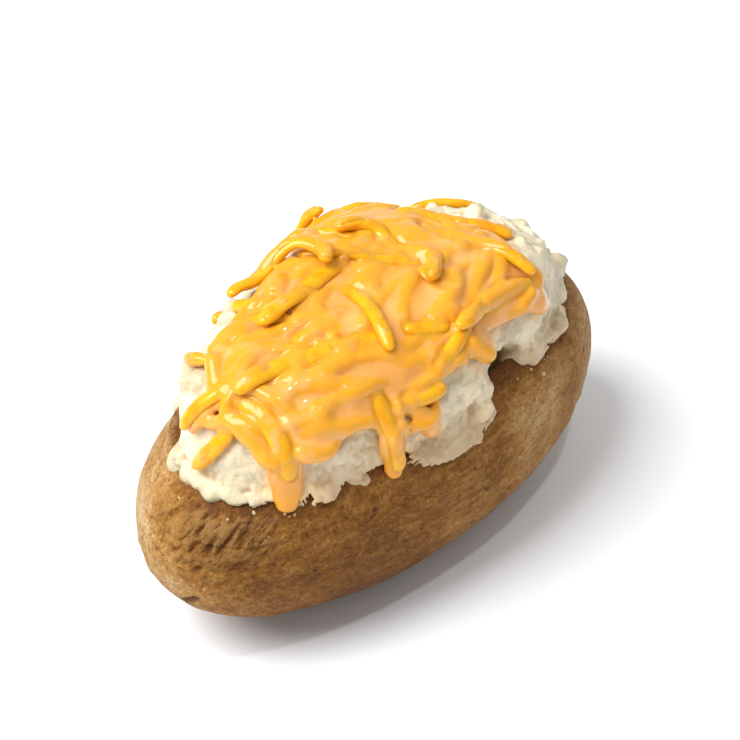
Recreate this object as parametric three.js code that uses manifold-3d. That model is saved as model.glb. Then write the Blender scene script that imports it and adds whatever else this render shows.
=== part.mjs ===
// A large russet potato baked in its jacket, split open along the top, its crumbly flesh pushed up into a
// heap, with a cap of warm cheese sauce and half-melted cheese shreds over the heap.
//
// Millimetres, +Z up. +X runs along the potato, and -Y is the side where the sauce runs down. The origin is
// under the middle of the whole, on the surface that the jacket's flat spot rests on.

import * as THREE from 'three';
import { ImprovedNoise } from 'three/addons/math/ImprovedNoise.js';
import { mergeVertices } from 'three/addons/utils/BufferGeometryUtils.js';
import Module from 'manifold-3d';

// ---------------------------------------------------------------- driving dimensions

const HALF_LENGTH = 67;
const HALF_WIDTH = 34;
const HALF_DEPTH = 29.5;
const SQUARENESS = 2.2; // 2 is an ellipsoid, more is boxier
const TAPER = 0.05; // how much wider the +X end is
const RISE = 0.04; // how much higher the +X end is
const FOOT_POLAR = -78; // degrees from the middle plane down to the edge of the flat spot
const CLEARANCE = 0.3; // between neighbouring solids
const COLUMNS = 48; // facets round the jacket and the heap

const SKIN = 1.6; // baked skin with the firm layer under it
const DENT = 0.6; // depth of the broad dents of the jacket
const DENT_SIZE = 13; // a sixth of their length
const RIM_POLAR = 38; // degrees from the middle plane up to the torn rim
const RIM_TILT = 2.4; // the rim is that much higher on the +Y side, and lower on the -Y side

const HEAP_TOP = 72.5; // crown of the flesh
const HEAP_ROUNDNESS = 0.8;
const CRUMB_DEPTH = 1.3; // lumps of the crumbly flesh
const CRUMB_SIZE = 11;

const SAUCE = 2.6; // thickness of the cap
const SAUCE_EDGE_WIDTH = 3; // over which the cap thins to its edge
const RUN_THICKNESS = 3.2; // a run of sauce down the side

const SAUCE_SEAT = 0.45; // the gap under the sauce, where coarse facets meet

const SHRED_THICKNESS = 2.4;
const SHRED_SUNK = 1; // depth to which a shred has sunk into the sauce

// ---------------------------------------------------------------- the baked body

const { degToRad, euclideanModulo, smoothstep, clamp } = THREE.MathUtils;
const noise = new ImprovedNoise();

function signedPower(value) {
  return Math.sign(value) * Math.abs(value) ** (2 / SQUARENESS);
}

const BODY_CENTRE = -HALF_DEPTH * signedPower(Math.sin(degToRad(FOOT_POLAR)));

// The smooth body at an azimuth round the vertical and a polar angle above the middle plane, in degrees.
function smoothBody(azimuth, polar) {
  const round = signedPower(Math.cos(degToRad(polar)));
  const along = round * signedPower(Math.cos(degToRad(azimuth)));
  const across = round * signedPower(Math.sin(degToRad(azimuth)));
  const height = signedPower(Math.sin(degToRad(polar)));
  return new THREE.Vector3(
    HALF_LENGTH * along,
    HALF_WIDTH * across * (1 + TAPER * along),
    BODY_CENTRE + HALF_DEPTH * height * (height > 0 ? 1 + RISE * along : 1),
  );
}

// The outward normal of a surface of two parameters, from a short step along each.
function normalOf(surface, first, second, firstStep, secondStep) {
  const here = surface(first, second);
  const eastward = surface(first + firstStep, second).sub(here);
  const upward = surface(first, second + secondStep).sub(here);
  return eastward.cross(upward).normalize();
}

// A point of the jacket's skin, with its broad dents, moved outwards by outset.
function bodyPoint(azimuth, polar, outset = 0) {
  const point = smoothBody(azimuth, polar);
  const normal = normalOf(smoothBody, azimuth, polar, 0.5, 0.5);
  const place = point.clone().divideScalar(DENT_SIZE);
  const dent = DENT * smoothstep(polar, -70, -35) * Math.sin(place.x + 1) * Math.cos(place.y + place.z);
  return point.addScaledVector(normal, outset + dent);
}

// The value at an azimuth of a list that goes once round, evenly spaced from -180 degrees.
function roundTheRim(values, azimuth) {
  const place = euclideanModulo(azimuth + 180, 360) * values.length / 360;
  const before = Math.floor(place);
  const blend = (1 - Math.cos((place - before) * Math.PI)) / 2;
  const low = values[before % values.length];
  const high = values[(before + 1) % values.length];
  return low + (high - low) * blend;
}

// The polar angle of the torn rim.
function rimPolar(azimuth) {
  return RIM_POLAR + RIM_TILT * Math.sin(degToRad(azimuth));
}

// The polar angle reached after a length down the skin from a start.
function polarBelow(azimuth, start, length) {
  const step = smoothBody(azimuth, start).distanceTo(smoothBody(azimuth, start - 1));
  return start - length / step;
}

// ---------------------------------------------------------------- the heap of flesh

// Lobes of flesh that hang over the rim: azimuth, half angle, length down the skin, thickness.
const LOBES = [
  [-172, 16, 3.5, 1.4],
  [-153, 13, 3.5, 1.6],
  [-131, 8, 6.5, 1.8],
  [-94, 14, 7.5, 2.6],
  [-57, 9, 3, 1.4],
  [70, 14, 5, 1.8],
  [140, 12, 4, 1.5],
];
const LEAST_LOBE = [1.4, 1];

function lobeAt(azimuth) {
  let [hang, thickness] = LEAST_LOBE;
  for (const [middle, halfAngle, lobeHang, lobeThickness] of LOBES) {
    const away = Math.abs(euclideanModulo(azimuth - middle + 180, 360) - 180);
    const share = Math.exp(-((away / halfAngle) ** 4));
    hang = Math.max(hang, lobeHang * share);
    thickness = Math.max(thickness, lobeThickness * share);
  }
  return { hang, thickness };
}

// How gently the heap slopes, every 30 degrees round: below 1 its side stands up.
const HEAP_SLACKNESS = [0.58, 0.6, 0.62, 0.62, 0.66, 0.95, 1.2, 1.15, 0.9, 0.78, 0.64, 0.56];

// The smooth heap: share is 0 at the rim and 1 at the crown.
function smoothHeap(azimuth, share) {
  const foot = bodyPoint(azimuth, rimPolar(azimuth), CLEARANCE + lobeAt(azimuth).thickness);
  const swing = Math.min(share, 1) * Math.PI / 2;
  const spread = Math.cos(swing) ** roundTheRim(HEAP_SLACKNESS, azimuth);
  const rise = Math.sin(swing) ** HEAP_ROUNDNESS;
  return new THREE.Vector3(foot.x * spread, foot.y * spread, foot.z + (HEAP_TOP - foot.z) * rise);
}

// Swellings of the heap: azimuth, share of the way up, radius, rise.
const SWELLINGS = [
  [160, 0.42, 9, 1.8],
  [-92, 0.1, 9, 2.6],
  [-38, 0.4, 10, 2],
  [98, 0.66, 11, 3],
];

// The outward normal of the smooth heap; at the crown it is straight up.
function heapNormal(azimuth, share) {
  if (share > 0.98) {
    return new THREE.Vector3(0, 0, 1);
  }
  return normalOf(smoothHeap, azimuth, Math.max(share, 0.02), 1, 0.01);
}

// A point of the heap, with its lumps and swellings, moved outwards by outset.
function heapPoint(azimuth, share, outset = 0) {
  const point = smoothHeap(azimuth, share);
  const place = point.clone().divideScalar(CRUMB_SIZE);
  let bulge = CRUMB_DEPTH * noise.noise(place.x + 9, place.y, place.z);
  for (const [middle, height, radius, rise] of SWELLINGS) {
    bulge += rise * Math.exp(-((point.distanceTo(smoothHeap(middle, height)) / radius) ** 2));
  }
  return point.addScaledVector(heapNormal(azimuth, share), outset + bulge * smoothstep(share, 0, 0.12));
}

// A point of what the sauce lies on: the heap, and at a negative share the lobes and the skin below the rim.
const SHARE_BELOW_RIM = 20; // millimetres of skin for a share of -1

function groundPoint(azimuth, share, outset = 0) {
  if (share >= 0) {
    return heapPoint(azimuth, share, outset);
  }
  const below = -share * SHARE_BELOW_RIM;
  const lobe = lobeAt(azimuth);
  const bulge = lobe.thickness * Math.sqrt(Math.max(0, 1 - (below / lobe.hang) ** 2));
  return bodyPoint(azimuth, polarBelow(azimuth, rimPolar(azimuth), below), CLEARANCE + bulge + outset);
}

// ---------------------------------------------------------------- closed bodies

// A closed body from rows of points, each row once round, between two end points.
function loftBody(startPole, rows, endPole) {
  const around = rows[0].length;
  const points = [startPole, ...rows.flat(), endPole];
  const index = (row, column) => 1 + row * around + column % around;
  const triangles = [];
  for (let column = 0; column < around; column += 1) {
    triangles.push(0, index(0, column + 1), index(0, column));
    for (let row = 0; row + 1 < rows.length; row += 1) {
      triangles.push(index(row, column), index(row, column + 1), index(row + 1, column + 1));
      triangles.push(index(row, column), index(row + 1, column + 1), index(row + 1, column));
    }
    const last = rows.length - 1;
    triangles.push(index(last, column), index(last, column + 1), points.length - 1);
  }
  const geometry = new THREE.BufferGeometry();
  geometry.setAttribute('position', new THREE.Float32BufferAttribute(points.flatMap((p) => p.toArray()), 3));
  geometry.setIndex(triangles);
  return geometry;
}

function azimuths(count) {
  return Array.from({ length: count }, (_, column) => -180 + column * 360 / count);
}

const wasm = await Module();
wasm.setup();

function toSolid(geometry) {
  const merged = mergeVertices(geometry, 1e-4);
  return new wasm.Manifold(new wasm.Mesh({
    numProp: 3,
    vertProperties: merged.attributes.position.array,
    triVerts: new Uint32Array(merged.index.array),
  }));
}

function toGeometry(solid) {
  const mesh = solid.getMesh();
  const geometry = new THREE.BufferGeometry();
  geometry.setAttribute('position', new THREE.BufferAttribute(new Float32Array(mesh.vertProperties), 3));
  geometry.setIndex(new THREE.BufferAttribute(new Uint32Array(mesh.triVerts), 1));
  return geometry;
}

// The largest of the separate bodies of a solid.
function largestBody(solid) {
  const bodies = solid.decompose();
  return bodies.reduce((best, body) => (body.volume() > best.volume() ? body : best));
}

// ---------------------------------------------------------------- the jacket

const OUTER_POLARS = [-64, -46, -28, -10, 6, 22];
const INNER_POLARS = [22, 6, -14, -40];

function jacketGeometry(grown = 0) {
  const round = azimuths(COLUMNS);
  const outer = OUTER_POLARS.map((polar) => round.map((azimuth) => bodyPoint(azimuth, polar, grown)));
  const inner = INNER_POLARS.map((polar) => round.map((azimuth) => bodyPoint(azimuth, polar, -SKIN)));
  return loftBody(
    new THREE.Vector3(0, 0, -grown),
    [
      round.map((azimuth) => bodyPoint(azimuth, FOOT_POLAR).setZ(-grown)),
      ...outer,
      round.map((azimuth) => bodyPoint(azimuth, rimPolar(azimuth), grown)),
      round.map((azimuth) => bodyPoint(azimuth, rimPolar(azimuth), -SKIN)),
      ...inner,
      round.map((azimuth) => bodyPoint(azimuth, FOOT_POLAR, -SKIN)),
    ],
    new THREE.Vector3(0, 0, SKIN),
  );
}

// ---------------------------------------------------------------- the flesh

const HEAP_SHARES = [0, 0.08, 0.18, 0.3, 0.44, 0.6, 0.8];

function fleshGeometry(grown = 0) {
  const round = azimuths(COLUMNS);
  const inside = -SKIN - CLEARANCE;
  const aboveRim = (azimuth) => polarBelow(azimuth, rimPolar(azimuth), -CLEARANCE);
  const underLobe = (azimuth, share) => {
    const below = share * (lobeAt(azimuth).hang + grown);
    return bodyPoint(azimuth, polarBelow(azimuth, rimPolar(azimuth), below), CLEARANCE - grown / 2);
  };
  const wall = [...INNER_POLARS].reverse();
  return loftBody(
    new THREE.Vector3(0, 0, SKIN + CLEARANCE),
    [
      round.map((azimuth) => bodyPoint(azimuth, FOOT_POLAR, inside)),
      ...wall.map((polar) => round.map((azimuth) => bodyPoint(azimuth, polar, inside))),
      round.map((azimuth) => bodyPoint(azimuth, aboveRim(azimuth), inside)),
      round.map((azimuth) => bodyPoint(azimuth, aboveRim(azimuth), CLEARANCE)),
      ...[0.5, 1].map((share) => round.map((azimuth) => underLobe(azimuth, share))),
      ...[0.85, 0.45].map((share) => round.map(
        (azimuth) => groundPoint(azimuth, -share * lobeAt(azimuth).hang / SHARE_BELOW_RIM, grown),
      )),
      ...HEAP_SHARES.map((share) => round.map((azimuth) => heapPoint(azimuth, share, grown))),
    ],
    heapPoint(0, 1, grown),
  );
}

// ---------------------------------------------------------------- the cheese sauce

// How far down the cap reaches, as a share of the heap, every 15 degrees round from the -X end.
const CAP_EDGE = [
  0.4, 0.3, 0.2, 0.12, 0.26, 0.2, 0.42, 0.34, 0.24, 0.48, 0.56, 0.6,
  0.62, 0.62, 0.62, 0.6, 0.54, 0.5, 0.62, 0.72, 0.74, 0.74, 0.66, 0.5,
];
const CAP_COLUMNS = 40;
const CAP_LEVELS = [0, 0.04, 0.12, 0.32, 0.56, 0.8]; // shares of the way from the edge to the crown
const HEAP_SLOPE = 42; // length of the slope from rim to crown

function capGeometry() {
  const round = azimuths(CAP_COLUMNS);
  const shareAt = (azimuth, level) => {
    const edge = roundTheRim(CAP_EDGE, azimuth);
    return edge + (1 - edge) * level;
  };
  const thicknessAt = (azimuth, level) => {
    const fromEdge = (shareAt(azimuth, level) - shareAt(azimuth, 0)) * HEAP_SLOPE;
    return SAUCE * Math.sqrt(1 - clamp(1 - fromEdge / SAUCE_EDGE_WIDTH, 0, 1) ** 2);
  };
  const under = [0.6, 0.1].map((level) => round.map(
    (azimuth) => groundPoint(azimuth, shareAt(azimuth, level), -1),
  ));
  const over = CAP_LEVELS.map((level) => round.map(
    (azimuth) => groundPoint(azimuth, shareAt(azimuth, level), thicknessAt(azimuth, level)),
  ));
  return loftBody(heapPoint(0, 1, -1), [...under, ...over], heapPoint(0, 1, SAUCE));
}

// ---------------------------------------------------------------- strips

// The heap unrolled into a disc, so that a curve can be drawn on it: the crown is in the middle.
function unroll([azimuth, share]) {
  const angle = degToRad(azimuth);
  return new THREE.Vector2(Math.cos(angle), Math.sin(angle)).multiplyScalar(1 - share);
}

// A curve through three places of the heap, as evenly spaced places on it.
function placesAlong(start, middle, end, spacing) {
  const [first, through, last] = [start, middle, end].map(unroll);
  const control = through.clone().multiplyScalar(2).addScaledVector(first, -0.5).addScaledVector(last, -0.5);
  const curve = new THREE.QuadraticBezierCurve(first, control, last);
  const at = (t) => {
    const flat = curve.getPoint(t);
    return { azimuth: Math.atan2(flat.y, flat.x) * 180 / Math.PI, share: 1 - flat.length() };
  };
  const fine = new THREE.CatmullRomCurve3(
    Array.from({ length: 33 }, (_, step) => at(step / 32)).map((p) => groundPoint(p.azimuth, p.share)),
  );
  const count = Math.max(4, Math.round(fine.getLength() / spacing));
  return Array.from({ length: count + 1 }, (_, step) => at(fine.getUtoTmapping(step / count)));
}

// A strip with a rounded section along stations, each with a centre, an outward normal, a half width and a
// half thickness. Its ends are rounded off.
function stripGeometry(stations, grown = 0) {
  const sides = 6;
  const rows = stations.map((station, step) => {
    const ahead = stations[Math.min(step + 1, stations.length - 1)].centre;
    const behind = stations[Math.max(step - 1, 0)].centre;
    const forward = ahead.clone().sub(behind).normalize();
    const across = station.normal.clone().cross(forward).normalize();
    const out = forward.clone().cross(across);
    return Array.from({ length: sides }, (_, side) => {
      const angle = 2 * Math.PI * side / sides;
      return station.centre.clone()
        .addScaledVector(across, Math.cos(angle) * (station.halfWidth + grown) * 1.08)
        .addScaledVector(out, Math.sin(angle) * (station.halfThickness + grown) * 1.08);
    });
  });
  const tip = (end, neighbour) => {
    const beyond = end.centre.clone().sub(neighbour.centre).normalize();
    return end.centre.clone().addScaledVector(beyond, end.halfThickness * 0.5 + grown);
  };
  const [first, second] = stations;
  const [beforeLast, last] = stations.slice(-2);
  return loftBody(tip(first, second), rows, tip(last, beforeLast));
}

// Runs of sauce: azimuth and share of their upper end, of their middle and of their tip, and their width.
const RUNS = [
  [[-152, 0.5], [-146, 0.2], [-141, -0.26], 8],
  [[-116, 0.45], [-112, 0.15], [-110, -0.24], 6.5],
  [[-108, 0.35], [-104, 0.18], [-100, 0.02], 5],
  [[-88, 0.6], [-85, 0.4], [-82, 0.22], 7],
  [[-92, 0.55], [-92, 0.45], [-91, 0.33], 3.6],
  [[-62, 0.5], [-60, 0.32], [-59, 0.2], 6],
  [[-178, 0.5], [178, 0.36], [175, 0.2], 5],
  [[74, 0.5], [69, 0.3], [66, 0.12], 7],
];
const RUN_SPACING = 3.2;

function runGeometry([start, middle, end, width]) {
  const places = placesAlong(start, middle, end, RUN_SPACING);
  const stations = places.map(({ azimuth, share }, step) => {
    const fromTip = places.length - 1 - step;
    const fromTop = step / (places.length - 1);
    const swell = fromTip === 0 ? 0.62 : 1;
    const thickness = RUN_THICKNESS * Math.min(1, 0.45 + 2 * fromTop) * swell;
    return {
      centre: groundPoint(azimuth, share, 0.3 * thickness),
      normal: groundPoint(azimuth, share, 1).sub(groundPoint(azimuth, share)),
      halfWidth: width / 2 * swell,
      halfThickness: thickness * 0.7,
    };
  });
  return stripGeometry(stations);
}

function sauceSolid(jacketGrown, fleshGrown) {
  const runs = RUNS.map((run) => toSolid(runGeometry(run)));
  const poured = wasm.Manifold.union([toSolid(capGeometry()), ...runs]);
  return largestBody(poured.subtract(fleshGrown).subtract(jacketGrown));
}

// ---------------------------------------------------------------- the cheese shreds

// Start, middle and end of each shred, as azimuth and share of the heap, and its width. They are laid in
// this order, so a later one lies over those it crosses.
const SHREDS = [
  [[180, 0.05], [-173, 0.19], [-168, 0.32], 3.6],
  [[174, 0.22], [178, 0.37], [-174, 0.52], 3.2],
  [[148, 0.4], [156, 0.46], [164, 0.52], 2.8],
  [[-170, 0.46], [-152, 0.36], [-144, 0.1], 4.4],
  [[-117, 0.42], [-113, 0.18], [-110, -0.12], 3.6],
  [[-108, 0.32], [-104, 0.29], [-98, 0.29], 3.2],
  [[-98, 0.4], [-91, 0.47], [-84, 0.55], 3.4],
  [[-102, 0.68], [-96, 0.63], [-90, 0.58], 3.4],
  [[-90, 0.54], [-70, 0.51], [-58, 0.42], 3.6],
  [[-170, 0.48], [-150, 0.69], [-110, 0.66], 4.4],
  [[-162, 0.76], [-152, 0.8], [-142, 0.82], 3.4],
  [[-74, 0.88], [-76, 0.8], [-78, 0.72], 3.6],
  [[-156, 0.96], [-118, 0.86], [-112, 0.6], 3.2],
  [[166, 0.56], [162, 0.71], [179, 0.83], 4],
  [[136, 0.64], [145, 0.73], [154, 0.83], 3.6],
  [[174, 0.75], [168, 0.89], [112, 0.96], 4.2],
  [[110, 0.81], [94, 0.97], [-60, 0.9], 3.2],
  [[135, 0.64], [113, 0.74], [146, 0.96], 4],
  [[95, 0.58], [86, 0.68], [74, 0.84], 3.4],
  [[82, 0.8], [24, 0.84], [-82, 0.8], 3.6],
  [[8, 0.7], [-42, 0.66], [-57, 0.45], 3.6],
  [[42, 0.6], [4, 0.63], [-28, 0.5], 3.6],
  [[48, 0.3], [66, 0.37], [86, 0.32], 3.4],
  [[16, 0.14], [30, 0.24], [44, 0.22], 3.6],
  [[104, 0.14], [112, 0.24], [120, 0.34], 3.4],
  [[90, 0.12], [80, 0.24], [74, 0.4], 3.6],
];
const SHRED_SPACING = 3;

function raysAcross(azimuth, share, sideways, halfWidth) {
  const foot = groundPoint(azimuth, share);
  const normal = groundPoint(azimuth, share, 1).sub(foot);
  return [-1, -0.5, 0, 0.5, 1].map((part) => ({
    origin: foot.clone().addScaledVector(normal, 30).addScaledVector(sideways, part * halfWidth),
    normal,
  }));
}

// Heights above the ground at which a shred of this width clears what lies there already.
function restingHeights(places, width, firm, soft) {
  const caster = new THREE.Raycaster();
  const heightOn = (meshes, ray) => {
    caster.set(ray.origin, ray.normal.clone().negate());
    const [hit] = caster.intersectObjects(meshes);
    return hit ? 30 - hit.distance : -Infinity;
  };
  return places.map(({ azimuth, share }, step) => {
    const ahead = places[Math.min(step + 1, places.length - 1)];
    const behind = places[Math.max(step - 1, 0)];
    const forward = groundPoint(ahead.azimuth, ahead.share).sub(groundPoint(behind.azimuth, behind.share));
    const normal = groundPoint(azimuth, share, 1).sub(groundPoint(azimuth, share));
    const sideways = normal.clone().cross(forward).normalize();
    const rays = raysAcross(azimuth, share, sideways, width / 2);
    const onFirm = Math.max(...rays.map((ray) => heightOn(firm, ray))) + CLEARANCE;
    const onSoft = Math.max(...rays.map((ray) => heightOn(soft, ray))) - SHRED_SUNK;
    return Math.max(onFirm, onSoft);
  });
}

// A shred is stiff enough to bridge a dip: no height lies far below the line through its neighbours.
function bridged(heights) {
  const at = (list, step) => list[clamp(step, 0, list.length - 1)];
  let result = heights.map((height, step) => Math.max(at(heights, step - 1), height, at(heights, step + 1)));
  for (let pass = 0; pass < 3; pass += 1) {
    result = result.map((height, step) => Math.max(height, (at(result, step - 1) + at(result, step + 1)) / 2));
  }
  return result;
}

function shredStations([start, middle, end, width], firm, soft) {
  const places = placesAlong(start, middle, end, SHRED_SPACING);
  const heights = bridged(restingHeights(places, width, firm, soft));
  return places.map(({ azimuth, share }, step) => {
    const atEnd = step === 0 || step === places.length - 1;
    return {
      centre: groundPoint(azimuth, share, heights[step] + SHRED_THICKNESS / 2),
      normal: groundPoint(azimuth, share, 1).sub(groundPoint(azimuth, share)),
      halfWidth: width / 2 * (atEnd ? 0.7 : 1),
      halfThickness: SHRED_THICKNESS / 2 * (atEnd ? 0.75 : 1),
    };
  });
}

// ---------------------------------------------------------------- the whole

const skinMaterial = new THREE.MeshStandardMaterial({ color: '#8a6238', roughness: 0.7, metalness: 0 });
const fleshMaterial = new THREE.MeshStandardMaterial({ color: '#f0e6c4', roughness: 0.6, metalness: 0 });
const sauceMaterial = new THREE.MeshStandardMaterial({ color: '#f6b65c', roughness: 0.25, metalness: 0 });
const shredMaterial = new THREE.MeshStandardMaterial({ color: '#f2a91e', roughness: 0.35, metalness: 0 });

const potato = new THREE.Group();

function addNode(name, geometry, material) {
  const mesh = new THREE.Mesh(geometry, material);
  mesh.name = name;
  mesh.updateMatrixWorld();
  potato.add(mesh);
  return mesh;
}

const jacket = addNode('potato_jacket', jacketGeometry(), skinMaterial);
const flesh = addNode('potato_flesh', fleshGeometry(), fleshMaterial);
let sauce = sauceSolid(toSolid(jacketGeometry(CLEARANCE)), toSolid(fleshGeometry(SAUCE_SEAT)));
const pouredSauce = new THREE.Mesh(toGeometry(sauce));

const laid = [];
SHREDS.forEach((shred, place) => {
  const stations = shredStations(shred, [jacket, flesh, ...laid], [pouredSauce]);
  const name = `cheese_shred_${String(place + 1).padStart(2, '0')}`;
  laid.push(addNode(name, stripGeometry(stations), shredMaterial));
  sauce = sauce.subtract(toSolid(stripGeometry(stations, CLEARANCE)));
});
addNode('cheese_sauce', toGeometry(largestBody(sauce)), sauceMaterial);

const middle = new THREE.Box3().setFromObject(potato).getCenter(new THREE.Vector3());
potato.position.set(-middle.x, -middle.y, 0);

export default potato;
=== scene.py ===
"""A large russet potato baked in its jacket, split open along the top: the crumbly flesh stands up in a heap,
under a cap of warm cheese sauce with half-melted cheese shreds.

Metres, +Z up. +X runs along the potato, and the sauce runs down on the -Y side.
"""

import math

import bmesh
import bpy
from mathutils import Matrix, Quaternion, Vector


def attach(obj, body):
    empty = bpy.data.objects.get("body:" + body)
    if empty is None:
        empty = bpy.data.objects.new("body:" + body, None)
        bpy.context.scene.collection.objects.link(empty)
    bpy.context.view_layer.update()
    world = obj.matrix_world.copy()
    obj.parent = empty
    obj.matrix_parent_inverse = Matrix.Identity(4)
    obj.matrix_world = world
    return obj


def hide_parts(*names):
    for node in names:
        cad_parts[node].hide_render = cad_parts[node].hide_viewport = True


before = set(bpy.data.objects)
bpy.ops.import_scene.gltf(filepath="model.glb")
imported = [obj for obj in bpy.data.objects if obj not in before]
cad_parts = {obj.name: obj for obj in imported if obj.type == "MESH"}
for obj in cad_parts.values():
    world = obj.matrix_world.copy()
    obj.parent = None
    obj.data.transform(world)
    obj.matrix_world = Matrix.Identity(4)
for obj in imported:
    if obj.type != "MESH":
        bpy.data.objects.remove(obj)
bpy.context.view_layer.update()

# ------------------------------------------------------------------------------------------------ the jacket
# The baked skin of a russet potato with the firm layer under it, one shell from its flat spot up to the torn
# rim of the split. Baking has dented it, crinkled it into folds round the end of the split and left it
# netted, freckled and slightly oily.

MM = 0.001


class Link:
    """An output of a node. Arithmetic on it adds Math nodes."""

    def __init__(self, bench, node, socket):
        self.bench = bench
        self.node = node
        self.socket = socket

    def maths(self, operation, *others):
        return self.bench.add("ShaderNodeMath", {"operation": operation}, dict(enumerate([self, *others])))

    def of(self, name):
        return Link(self.bench, self.node, self.bench.pick(self.node.outputs, name))

    def __add__(self, other):
        return self.maths("ADD", other)

    def __radd__(self, other):
        return self.maths("ADD", other)

    def __sub__(self, other):
        return self.maths("SUBTRACT", other)

    def __rsub__(self, other):
        return self.bench.add("ShaderNodeMath", {"operation": "SUBTRACT"}, {0: other, 1: self})

    def __mul__(self, other):
        return self.maths("MULTIPLY", other)

    def __rmul__(self, other):
        return self.maths("MULTIPLY", other)

    def __truediv__(self, other):
        return self.maths("DIVIDE", other)

    def __rtruediv__(self, other):
        return self.bench.add("ShaderNodeMath", {"operation": "DIVIDE"}, {0: other, 1: self})

    def __pow__(self, other):
        return self.maths("POWER", other)

    def __neg__(self):
        return self.maths("MULTIPLY", -1.0)

    def __abs__(self):
        return self.maths("ABSOLUTE")

    def above(self, limit):
        return self.maths("GREATER_THAN", limit)

    def at_most(self, other):
        return self.maths("MINIMUM", other)

    def at_least(self, other):
        return self.maths("MAXIMUM", other)

    def ramped(self, low, high, to_low=0.0, to_high=1.0, curve="SMOOTHSTEP"):
        """From to_low at low to to_high at high, level beyond them."""
        return self.bench.add(
            "ShaderNodeMapRange",
            {"interpolation_type": curve},
            {"Value": self, "From Min": low, "From Max": high, "To Min": to_low, "To Max": to_high},
        )


class Bench:
    """Where a node tree is put together."""

    def __init__(self, tree):
        self.tree = tree

    def pick(self, sockets, key):
        if isinstance(key, int):
            return sockets[key]
        return next(s for s in sockets if s.name == key and s.enabled)

    def add(self, kind, settings=None, sockets=None, out=0):
        """Adds a node: first its settings, then the values or links of its sockets. Gives one output."""
        node = self.tree.nodes.new(kind)
        for name, value in (settings or {}).items():
            if name == "stops":
                self.set_stops(node.color_ramp, value)
            else:
                setattr(node, name, value)
        for key, value in (sockets or {}).items():
            socket = self.pick(node.inputs, key)
            for item in value if isinstance(value, list) else [value]:
                if isinstance(item, Link):
                    self.tree.links.new(item.socket, socket)
                else:
                    socket.default_value = item
        if not node.outputs:
            return Link(self, node, None)
        return Link(self, node, self.pick(node.outputs, out))

    def set_stops(self, ramp, stops):
        while len(ramp.elements) < len(stops):
            ramp.elements.new(1.0)
        for element, (place, colour) in zip(ramp.elements, stops):
            element.position = place
            element.color = colour

    def vector(self, operation, first, second=None, scale=None):
        sockets = {0: first}
        if second is not None:
            sockets[1] = second
        if scale is not None:
            sockets["Scale"] = scale
        return self.add("ShaderNodeVectorMath", {"operation": operation}, sockets)

    def gap(self, first, second):
        return self.vector("DISTANCE", first, second).of("Value")

    def dot(self, first, second):
        return self.vector("DOT_PRODUCT", first, second).of("Value")

    def point(self, x, y, z):
        return self.add("ShaderNodeCombineXYZ", {}, {0: x, 1: y, 2: z})

    def parts(self, vector):
        x = self.add("ShaderNodeSeparateXYZ", {}, {0: vector})
        return x, x.of("Y"), x.of("Z")

    def attribute(self, name):
        return self.add("ShaderNodeAttribute", {"attribute_name": name}, {}, "Fac")

    def stretched(self, place, scale):
        return self.add("ShaderNodeMapping", {}, {"Vector": place, "Scale": scale})

    def noise(self, place, size, detail=2.0, roughness=0.5, distortion=0.0):
        """Noise from about 0 to 1 whose lumps are about size across."""
        sockets = {"Vector": place, "Scale": 1 / size, "Detail": detail, "Roughness": roughness}
        return self.add("ShaderNodeTexNoise", {}, {**sockets, "Distortion": distortion})

    def cells(self, place, size, feature="F1"):
        """Distances in a pattern of cells about size across."""
        sockets = {"Vector": place, "Scale": 1 / size}
        return self.add("ShaderNodeTexVoronoi", {"feature": feature}, sockets, "Distance")

    def mixed(self, factor, first, second):
        sockets = {"Factor": factor, "A": first, "B": second}
        return self.add("ShaderNodeMix", {"data_type": "RGBA"}, sockets, "Result")

    def bumped(self, height, strength, depth):
        return self.add("ShaderNodeBump", {}, {"Strength": strength, "Distance": depth, "Height": height})


def geometry_bench(name, sizes, objects=()):
    """A geometry tree with inputs for a mesh, for other objects and for sizes. Gives its bench and inputs."""
    tree = bpy.data.node_groups.new(name, "GeometryNodeTree")
    kinds = {"Geometry": "Geometry", **dict.fromkeys(objects, "Object"), **dict.fromkeys(sizes, "Float")}
    for label, kind in kinds.items():
        tree.interface.new_socket(label, in_out="INPUT", socket_type="NodeSocket" + kind)
    tree.interface.new_socket("Geometry", in_out="OUTPUT", socket_type="NodeSocketGeometry")
    bench = Bench(tree)
    start = bench.add("NodeGroupInput")
    return bench, {label: start.of(label) for label in kinds}


def marked(bench, body, marks):
    """The body with named attributes on its points, for its material to read."""
    for name, value in marks.items():
        body = bench.add(
            "GeometryNodeStoreNamedAttribute",
            {"data_type": "FLOAT", "domain": "POINT"},
            {"Geometry": body, "Name": name, "Value": value},
        )
    return body


def placed(bench, body, position):
    return bench.add("GeometryNodeSetPosition", {}, {"Geometry": body, "Position": position})


def end_tree(bench, geometry, material):
    """The last nodes of a geometry tree: everything is made real, smooth and given its material."""
    real = bench.add("GeometryNodeRealizeInstances", {}, {"Geometry": geometry})
    smooth = bench.add("GeometryNodeSetShadeSmooth", {}, {"Geometry": real})
    finished = bench.add("GeometryNodeSetMaterial", {}, {"Geometry": smooth, "Material": material})
    bench.add("NodeGroupOutput", {}, {"Geometry": finished})


def worked(name, blank, bench, values):
    """An object whose plain mesh is what the tree makes of a blank mesh."""
    piece = bpy.data.objects.new(name, blank)
    bpy.context.scene.collection.objects.link(piece)
    modifier = piece.modifiers.new("work", "NODES")
    modifier.node_group = bench.tree
    for item in bench.tree.interface.items_tree:
        if item.in_out == "INPUT" and item.name in values:
            modifier[item.identifier] = values[item.name]
    graph = bpy.context.evaluated_depsgraph_get()
    made = bpy.data.meshes.new_from_object(piece.evaluated_get(graph), depsgraph=graph)
    piece.modifiers.clear()
    piece.data = made
    made.name = name
    return piece


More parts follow.
